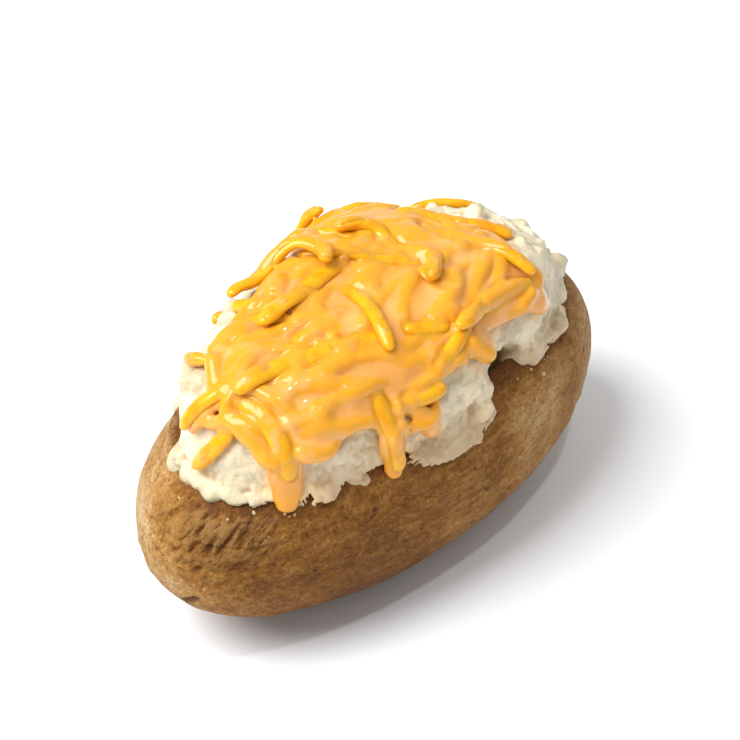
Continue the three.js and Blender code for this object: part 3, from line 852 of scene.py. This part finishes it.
def sauce_bench(material):
    bench, size = geometry_bench("sauce", sauce_sizes, ["Shreds"])
    place = bench.add("GeometryNodeInputPosition")
    _, _, z = bench.parts(place)
    shreds = shape_of(bench, size["Shreds"])
    from_shreds = nearest(bench, shreds)
    sticky = bench.add("GeometryNodeSubdivideMesh", {}, {"Mesh": shreds, "Level": 2})
    coat = bench.noise(place, 7 * MM, 2).ramped(0.47, 0.58, size["Thinnest coat"], size["Thickest coat"])
    wet = swollen(bench, sticky, coat)

    # Shreds drowned in the sauce: bent rods that lie on top of the cap, each turned mostly toward +X.
    facing_out = bench.dot(bench.add("GeometryNodeInputNormal"), out_of_the_heap(bench, place))
    top = bench.add(
        "GeometryNodeSeparateGeometry",
        {"domain": "FACE"},
        {"Geometry": size["Geometry"], "Selection": facing_out.above(0.3)},
    )
    spots = bench.add(
        "GeometryNodeDistributePointsOnFaces",
        {"distribute_method": "POISSON"},
        {
            "Mesh": top,
            "Selection": z.above(56 * MM),
            "Distance Min": size["Drowned gap"],
            "Density Max": 0.05 / MM**2,
            "Seed": 3,
        },
        "Points",
    )
    upright = bench.add("FunctionNodeAlignRotationToVector", {"axis": "Z"}, {"Vector": spots.of("Normal")})
    heading = chance(bench, "FLOAT_VECTOR", (0.4, -0.9, -0.2), (1.0, 0.6, 0.2), 5)
    turned = bench.add(
        "FunctionNodeAlignRotationToVector",
        {"axis": "X", "pivot_axis": "Z"},
        {"Rotation": upright, "Vector": heading},
    )
    arc = bench.add(
        "GeometryNodeCurveQuadraticBezier",
        {},
        {"Resolution": 12, "Start": (-0.5, 0, 0), "Middle": (0, 1, 0), "End": (0.5, 0, 0)},
    )
    reach = chance(bench, "FLOAT", size["Shortest"], size["Longest"], 6)
    bend = chance(bench, "FLOAT", -size["Bend"], size["Bend"], 8)
    arcs = set_out(bench, spots, arc, turned, bench.point(reach, bend, 1.0))
    arcs = placed(bench, arcs, nearest(bench, top, "Position"))
    along = bench.add("GeometryNodeSplineParameter", {}, {}, "Factor")
    girth = size["Drowned radius"] * (along * math.pi).maths("SINE").at_least(0.01) ** 0.35
    girth = girth * bench.noise(place, 9 * MM, 1).ramped(0.3, 0.65, 0.6, 1.1)
    section = bench.add("GeometryNodeCurvePrimitiveCircle", {}, {"Resolution": 10, "Radius": 1.0})
    drowned = bench.add(
        "GeometryNodeCurveToMesh",
        {},
        {"Curve": arcs, "Profile Curve": section, "Scale": girth, "Fill Caps": True},
    )

    # Cap, wetted shreds and drowned shreds run into one skin, which waves and thins down the runs.
    mass = bench.add("GeometryNodeJoinGeometry", {}, {"Geometry": [size["Geometry"], wet, drowned]})
    body = remeshed(bench, mass, size["Voxel"])
    body = placed(bench, body, averaged(bench, place, 16))
    wave = (bench.noise(place, 9 * MM, 2) - 0.5) * 2 * size["Wave"] + size["Swell"]
    wave = wave - z.ramped(56 * MM, 45 * MM) * size["Taper"]
    body = swollen(bench, body, wave * from_shreds.ramped(0, 1.6 * MM))
    from_any_shred = from_shreds.at_most(nearest(bench, drowned) + 0.05 * MM)
    body = marked(bench, body, {"from_shreds": from_any_shred, "sunk": hollowness(bench, 12)})
    end_tree(bench, body, material)
    return bench


all_shreds = hidden_object(copied("all_shreds", *shred_names))
sauce = worked(
    "poured_sauce",
    copied("sauce", "cheese_sauce"),
    sauce_bench(sauce_finish()),
    {**sauce_sizes, "Shreds": all_shreds},
)
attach(sauce, "root")
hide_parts("cheese_sauce")

# ------------------------------------------------------------------------------------------------ the shreds
# Coarse shreds of orange cheese laid over the sauce one by one and half melted: their cut edges have gone
# round, their sides sag, and each is wet and glossy.

SHRED_GOLD = (0.76, 0.375, 0.004, 1)
SHRED_DEEP = (0.71, 0.29, 0.003, 1)
SHRED_LIGHT = (0.81, 0.46, 0.02, 1)


def shred_finish():
    material, bench, finish = principled("melted shreds")
    place = bench.add("ShaderNodeTexCoord", {}, {}, "Object")
    patch = bench.noise(place, 5 * MM, 3)
    colour = bench.mixed(patch.ramped(0.5, 0.68), SHRED_GOLD, SHRED_DEEP)
    colour = bench.mixed(patch.ramped(0.48, 0.32) * 0.7, colour, SHRED_LIGHT)
    finish(
        Base_Color=colour,
        Roughness=0.26 + patch * 0.16,
        Normal=bench.bumped(bench.noise(place, 1.8 * MM, 2), 0.3, 0.4 * MM),
        Specular_IOR_Level=0.12,
        Subsurface_Weight=0.45,
        Subsurface_Radius=(1.0, 0.4, 0.08),
        Subsurface_Scale=1.6 * MM,
        Coat_Weight=0.6,
        Coat_Roughness=0.045,
    )
    return material


shred_sizes = {"Fullness": 0.3 * MM, "Sag": 0.45 * MM, "Sink": 0.6 * MM}


def shred_bench(material):
    bench, size = geometry_bench("shred", shred_sizes)
    place = bench.add("GeometryNodeInputPosition")
    rounded = bench.add("GeometryNodeSubdivisionSurface", {}, {"Mesh": size["Geometry"], "Level": 3})
    uneven = (bench.noise(place, 5 * MM, 2) - 0.5) * 2 * size["Sag"] + size["Fullness"]
    sink = bench.vector("SCALE", out_of_the_heap(bench, place), scale=-size["Sink"])
    swell = bench.vector("SCALE", bench.add("GeometryNodeInputNormal"), scale=uneven)
    end_tree(bench, moved(bench, rounded, bench.vector("ADD", swell, sink)), material)
    return bench


def quads_joined(mesh):
    """The pairs of triangles of a copied strip joined back into the quads of its sides."""
    shape = bmesh.new()
    shape.from_mesh(mesh)
    limit = math.radians(60)
    bmesh.ops.join_triangles(
        shape, faces=shape.faces, angle_face_threshold=limit, angle_shape_threshold=limit, cmp_seam=False
    )
    shape.to_mesh(mesh)
    shape.free()
    return mesh


shred_tree = shred_bench(shred_finish())
for name in shred_names:
    blank = quads_joined(copied(name + "_blank", name))
    shred = worked("melted_" + name.removeprefix("cheese_"), blank, shred_tree, shred_sizes)
    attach(shred, "root")
    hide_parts(name)

for helper in (all_cheese, all_shreds):
    bpy.data.objects.remove(helper)

# ------------------------------------------------------------------------------------------ floor and lights
# A plain white table top. A large soft light stands high on the -X side and a little behind the potato, a
# small lamp almost overhead gives the sharp glints, and the surround is an even warm white.


def floor_finish():
    material, bench, finish = principled("white table")
    place = bench.add("ShaderNodeTexCoord", {}, {}, "Object")
    grain = bench.noise(place, 0.02, 2)
    finish(Base_Color=(0.90, 0.93, 0.985, 1), Roughness=0.75 + grain * 0.1, Specular_IOR_Level=0.2)
    return material


FLOOR_HALF = 3.0
floor_mesh = bpy.data.meshes.new("table_top")
floor_corners = [(FLOOR_HALF * x, FLOOR_HALF * y, 0) for x, y in [(-1, -1), (1, -1), (1, 1), (-1, 1)]]
floor_mesh.from_pydata(floor_corners, [], [(0, 1, 2, 3)])
floor_mesh.materials.append(floor_finish())
table_top = bpy.data.objects.new("table_top", floor_mesh)
bpy.context.scene.collection.objects.link(table_top)


def area_light(name, direction, distance, size, power, colour):
    lamp = bpy.data.lights.new(name, "AREA")
    lamp.shape = "DISK"
    lamp.size = size
    lamp.energy = power
    lamp.color = colour
    holder = bpy.data.objects.new(name, lamp)
    toward = Vector(direction).normalized()
    holder.location = toward * distance
    holder.rotation_mode = "QUATERNION"
    holder.rotation_quaternion = toward.to_track_quat("Z", "Y")
    bpy.context.scene.collection.objects.link(holder)


area_light("soft_key", (-0.62, 0.27, 1.0), 1.4, 1.1, 28.0, (1.0, 0.985, 0.96))
area_light("small_lamp", (-0.15, -0.35, 1.0), 1.2, 0.06, 1.8, (1.0, 1.0, 1.0))

world = bpy.data.worlds.new("surround")
world.use_nodes = True
background = world.node_tree.nodes["Background"].inputs
background["Color"].default_value = (1.0, 0.965, 0.91, 1)
background["Strength"].default_value = 0.5
bpy.context.scene.world = world
bpy.context.scene.view_settings.view_transform = "Standard"

# ------------------------------------------------------------------------------------------------ the camera
# A long lens looking down at the front left of the potato.

TARGET = Vector((0, 0, 30 * MM))
CAMERA_AZIMUTH = math.radians(-48)
CAMERA_ELEVATION = math.radians(40)
CAMERA_DISTANCE = 0.8
AIM_UP = math.radians(0.81)
AIM_RIGHT = math.radians(0.033)

camera_data = bpy.data.cameras.new("camera")
camera_data.lens = 168.5
camera_data.sensor_width = 36
camera = bpy.data.objects.new("camera", camera_data)
back = Vector(
    (
        math.sin(CAMERA_AZIMUTH) * math.cos(CAMERA_ELEVATION),
        -math.cos(CAMERA_AZIMUTH) * math.cos(CAMERA_ELEVATION),
        math.sin(CAMERA_ELEVATION),
    )
)
camera.location = TARGET + back * CAMERA_DISTANCE
camera.rotation_mode = "QUATERNION"
aim = Quaternion((1, 0, 0), AIM_UP) @ Quaternion((0, 1, 0), -AIM_RIGHT)
camera.rotation_quaternion = back.to_track_quat("Z", "Y") @ aim
bpy.context.scene.collection.objects.link(camera)
bpy.context.scene.camera = camera
